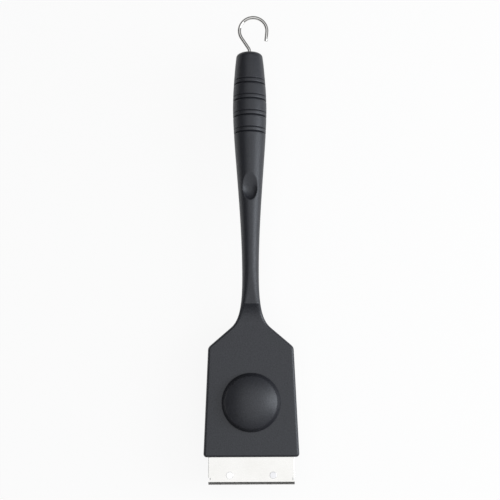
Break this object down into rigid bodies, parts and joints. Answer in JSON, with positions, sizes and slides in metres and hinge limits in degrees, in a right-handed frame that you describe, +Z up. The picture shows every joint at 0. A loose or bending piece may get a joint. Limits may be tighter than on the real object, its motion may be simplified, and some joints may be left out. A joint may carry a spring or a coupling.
{
  "type": "grill brush",
  "caption": "Long-handled grill cleaning brush with a flared head, palm knob, wire bristles, folded steel scraper and a swivelling hanging hook.",
  "frame": {"origin": "on the surface under the bristle tips, half way along the brush, on its middle plane", "axes": "+Y along the handle to the hook, +Z up out of the back of the head, +X across the head"},
  "size_m": [0.0908, 0.4569, 0.0565],
  "materials": {
    "black_plastic": "fine spark-textured moulding",
    "scraper_steel": "bright rolled sheet",
    "rivet_steel": "satin",
    "hook_steel": "polished wire",
    "screw_steel": "zinc plated",
    "bristle_wire": "drawn wire"
  },
  "bodies": {
    "brush": {"handle_top_shell": "black_plastic", "handle_bottom_shell": "black_plastic", "palm_knob": "black_plastic", "brush_block": "black_plastic", "scraper_plate": "scraper_steel", "scraper_rivet_left": "rivet_steel", "scraper_rivet_right": "rivet_steel", "knob_screw": "screw_steel", "handle_screw_1": "screw_steel", "handle_screw_2": "screw_steel", "handle_screw_3": "screw_steel", "block_screw_1": "screw_steel", "block_screw_2": "screw_steel", "block_screw_3": "screw_steel", "block_screw_4": "screw_steel", "bristle_strip_1": "bristle_wire", "bristle_strip_2": "bristle_wire", "bristle_strip_3": "bristle_wire", "bristle_strip_4": "bristle_wire"},
    "hook": {"hanging_hook": "hook_steel"}
  },
  "joints": [
    {"name": "hook_swivel", "type": "hinge", "parent": "brush", "child": "hook", "pos_m": [0, 0.1906, 0.041], "axis": [0, 1, 0], "continuous": true}
  ]
}
